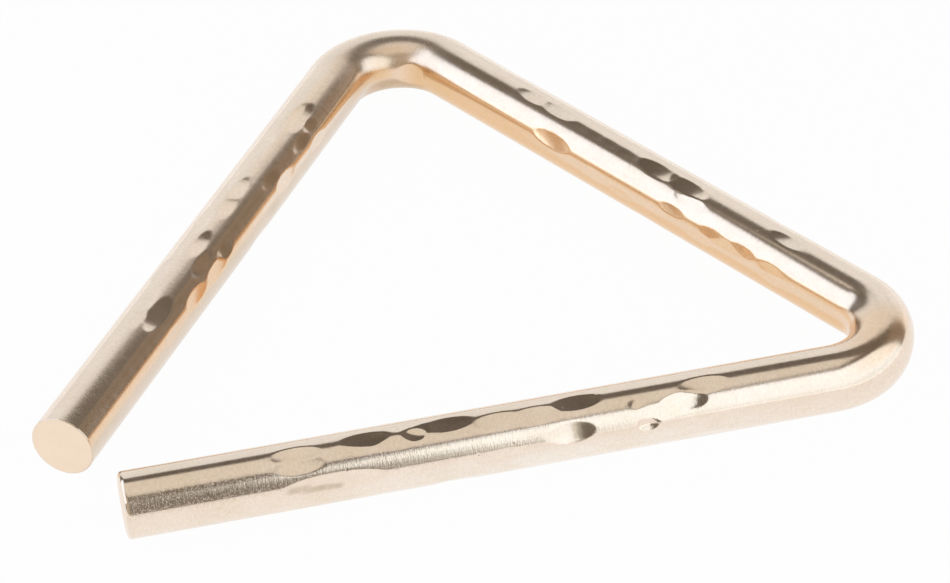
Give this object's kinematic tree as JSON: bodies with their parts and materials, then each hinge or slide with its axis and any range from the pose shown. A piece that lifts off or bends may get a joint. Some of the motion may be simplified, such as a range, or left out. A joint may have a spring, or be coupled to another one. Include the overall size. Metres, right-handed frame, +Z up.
{
  "type": "percussion triangle",
  "caption": "Hand-hammered bronze percussion triangle: a solid round bar bent into a triangle with an open corner, hung by a closed corner and struck to ring.",
  "frame": {"origin": "on the floor under the middle of the triangle's bounding box, with the triangle lying flat", "axes": "+X along the closed side towards the right corner, +Y from the open corner to the closed side, +Z up"},
  "size_m": [0.155, 0.1414, 0.012],
  "materials": {
    "bronze": "ground and polished pale bronze, hand-hammered along the sides"
  },
  "bodies": {
    "root": {"triangle_bar": "bronze"}
  },
  "joints": []
}
